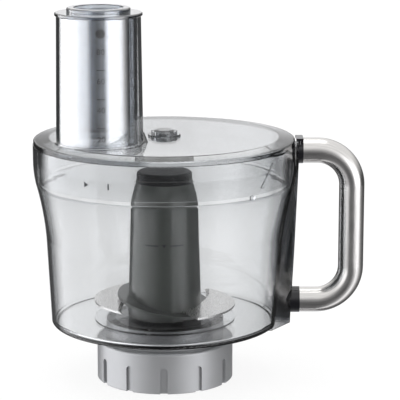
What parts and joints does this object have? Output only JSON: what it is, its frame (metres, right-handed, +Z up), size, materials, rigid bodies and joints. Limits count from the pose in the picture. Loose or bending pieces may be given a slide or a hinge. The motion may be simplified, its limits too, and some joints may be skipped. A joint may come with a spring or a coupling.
{
  "type": "food processor attachment",
  "caption": "Clear food processor bowl with lid, feed tube, nested pushers, knife, steel loop handle and a geared collar that fits a stand mixer's outlet.",
  "frame": {"origin": "on the drive axis, at the lower face of the collar", "axes": "+Z up along the drive axis, +X towards the handle, -Y towards the viewer"},
  "size_m": [0.2543, 0.201, 0.292],
  "materials": {
    "clear_plastic": "clear polished moulded plastic",
    "tube_plastic": "lightly smoke-tinted polished moulded plastic",
    "pusher_plastic": "smoke-tinted polished moulded plastic, slightly bluish",
    "smoke_plastic": "dark smoke-grey translucent plastic, polished",
    "bearing_plastic": "clear moulded plastic, slightly frosted",
    "black_plastic": "black, semi-gloss",
    "brushed_steel": "satin brushed stainless steel",
    "machined_steel": "machined steel",
    "blade_steel": "ground stainless steel",
    "silver_housing": "satin silver-grey paint, fine grain",
    "gear_plastic": "natural acetal",
    "cast_metal": "cast aluminium alloy",
    "bronze": "sintered bronze",
    "rubber_seal": "soft black rubber",
    "hub_plastic": "dark grey-green, semi-gloss",
    "cap_plastic": "black, semi-gloss"
  },
  "bodies": {
    "root": {"bowl": "clear_plastic", "bowl_seal": "rubber_seal", "shaft_seal": "rubber_seal", "collar": "silver_housing", "base_screws": "machined_steel", "ring_gear": "gear_plastic", "input_bush": "bronze", "output_bush": "bronze", "gearbox_cover": "silver_housing", "cover_retainer": "machined_steel", "spine": "smoke_plastic", "handle_tube": "brushed_steel", "handle_cap_upper": "black_plastic", "handle_cap_lower": "black_plastic", "interlock_spring": "machined_steel"},
    "lid_bearing": {"lid_bearing": "bearing_plastic"},
    "lid": {"lid": "clear_plastic", "feed_tube": "tube_plastic"},
    "large_pusher": {"large_pusher": "pusher_plastic"},
    "small_pusher": {"small_pusher": "pusher_plastic"},
    "interlock_plunger": {"interlock_plunger": "machined_steel"},
    "knife": {"drive_shaft": "machined_steel", "shaft_clip": "machined_steel", "planet_carrier": "cast_metal", "planet_pins": "machined_steel", "planet_clips": "machined_steel", "knife_hub": "hub_plastic", "hub_cap": "cap_plastic", "blade_1": "blade_steel", "blade_2": "blade_steel"},
    "sun": {"sun_gear": "gear_plastic", "input_coupling": "machined_steel"},
    "planet_1": {"planet_gear_1": "gear_plastic"},
    "planet_2": {"planet_gear_2": "gear_plastic"},
    "planet_3": {"planet_gear_3": "gear_plastic"}
  },
  "joints": [
    {"name": "lid_lift", "type": "slide", "parent": "root", "child": "lid_bearing", "axis": [0, 0, 1], "range_m": [0, 0.05]},
    {"name": "lid_turn", "type": "hinge", "parent": "lid_bearing", "child": "lid", "pos_m": [0, 0, 0.1912], "axis": [0, 0, 1], "range_deg": [0, 33]},
    {"name": "large_pusher_lift", "type": "slide", "parent": "lid", "child": "large_pusher", "axis": [0, 0, 1], "range_m": [0, 0.09]},
    {"name": "small_pusher_lift", "type": "slide", "parent": "large_pusher", "child": "small_pusher", "axis": [0, 0, 1], "range_m": [0, 0.09]},
    {"name": "interlock_press", "type": "slide", "parent": "root", "child": "interlock_plunger", "axis": [0, 0, -1], "range_m": [0, 0.0024], "stiffness_N_per_m": 150, "springref_m": -0.002, "deforming": ["interlock_spring"]},
    {"name": "knife_spin", "type": "hinge", "parent": "root", "child": "knife", "pos_m": [0, 0, 0.0312], "axis": [0, 0, 1], "continuous": true},
    {"name": "sun_spin", "type": "hinge", "parent": "root", "child": "sun", "pos_m": [0, 0, 0.0212], "axis": [0, 0, 1], "continuous": true},
    {"name": "planet_1_spin", "type": "hinge", "parent": "knife", "child": "planet_1", "pos_m": [0.0225, 0, 0.0232], "axis": [0, 0, 1], "continuous": true},
    {"name": "planet_2_spin", "type": "hinge", "parent": "knife", "child": "planet_2", "pos_m": [-0.01125, 0.01949, 0.0232], "axis": [0, 0, 1], "continuous": true},
    {"name": "planet_3_spin", "type": "hinge", "parent": "knife", "child": "planet_3", "pos_m": [-0.01125, -0.01949, 0.0232], "axis": [0, 0, 1], "continuous": true}
  ],
  "couplings": [
    {"joint": "interlock_press", "follows": "lid_turn", "m_per_rad": 0.00416},
    {"joint": "sun_spin", "follows": "knife_spin", "ratio": 4},
    {"joint": "planet_1_spin", "follows": "knife_spin", "ratio": -3},
    {"joint": "planet_2_spin", "follows": "knife_spin", "ratio": -3},
    {"joint": "planet_3_spin", "follows": "knife_spin", "ratio": -3}
  ]
}
